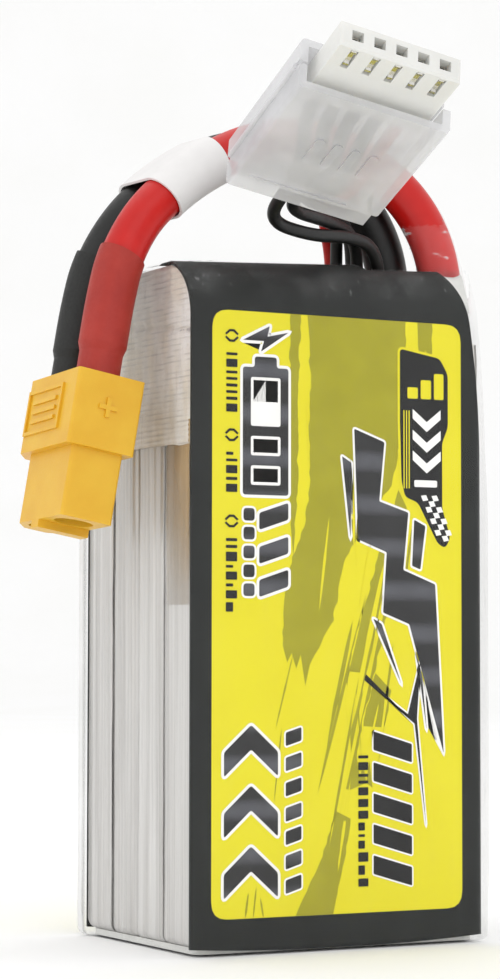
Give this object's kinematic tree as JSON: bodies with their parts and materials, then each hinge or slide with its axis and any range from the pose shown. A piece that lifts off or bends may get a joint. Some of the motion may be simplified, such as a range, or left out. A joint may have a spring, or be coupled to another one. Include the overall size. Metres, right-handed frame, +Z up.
{
  "type": "lithium polymer battery pack",
  "caption": "Flat-sided soft battery pack in clear shrink film, with paired power leads to a bullet connector and a balance plug in a hinged clip.",
  "frame": {"origin": "centre of the pack's base, on the surface that it stands on", "axes": "+Z up along the cells to the end that the leads leave, -Y out of the front label, +X towards the side that the leads leave"},
  "size_m": [0.053, 0.061, 0.098],
  "materials": {
    "pouch_foil": "satin laminated foil",
    "grey_foam": "matt foam tape",
    "aluminium_tab": "satin",
    "nickel_tab": "satin",
    "board_green": "solder-masked fibreglass",
    "solder": "bright solder",
    "fish_paper": "matt pressed paper",
    "white_foam": "matt foam",
    "filament_tape": "translucent tape with fine glass threads",
    "amber_film": "translucent amber film",
    "printed_card": "printed dark grey card with a yellow panel",
    "clear_film": "clear heat-shrunk film",
    "red_silicone": "soft satin",
    "black_silicone": "soft satin",
    "red_shrink": "matt heat-shrink",
    "black_shrink": "matt heat-shrink",
    "white_sleeve": "satin heat-shrink",
    "yellow_nylon": "satin moulded nylon",
    "gold_plate": "gold plated",
    "tin_plate": "tin plated",
    "white_nylon": "satin moulded nylon",
    "clear_polypropylene": "frosted translucent polypropylene"
  },
  "bodies": {
    "pack": {"cell_1": "pouch_foil", "cell_2": "pouch_foil", "cell_3": "pouch_foil", "cell_4": "pouch_foil", "cell_pad_1": "grey_foam", "cell_pad_2": "grey_foam", "cell_pad_3": "grey_foam", "aluminium_tabs": "aluminium_tab", "nickel_tabs": "nickel_tab", "tab_board": "board_green", "solder_joints": "solder", "board_insulator": "fish_paper", "top_foam": "white_foam", "bottom_pad": "white_foam", "strapping_tape": "filament_tape", "kapton_strip": "amber_film", "front_label": "printed_card", "back_label": "printed_card", "shrink_wrap": "clear_film", "red_lead": "red_silicone", "black_lead": "black_silicone", "red_heat_shrink": "red_shrink", "black_heat_shrink": "black_shrink", "lead_sleeve": "white_sleeve", "connector_housing": "yellow_nylon", "positive_contact": "gold_plate", "negative_contact": "gold_plate", "balance_wire_1": "black_silicone", "balance_wire_2": "black_silicone", "balance_wire_3": "black_silicone", "balance_wire_4": "black_silicone", "balance_wire_5": "red_silicone", "balance_plug": "white_nylon", "balance_contacts": "tin_plate", "clip_base": "clear_polypropylene", "clip_hinge": "clear_polypropylene"},
    "clip_lid": {"clip_lid": "clear_polypropylene"}
  },
  "joints": [
    {"name": "clip_hinge", "type": "hinge", "parent": "pack", "child": "clip_lid", "pos_m": [-0.01838, -0.02894, 0.09089], "axis": [0.0497, 0.9226, -0.3826], "range_deg": [0, 110]}
  ]
}
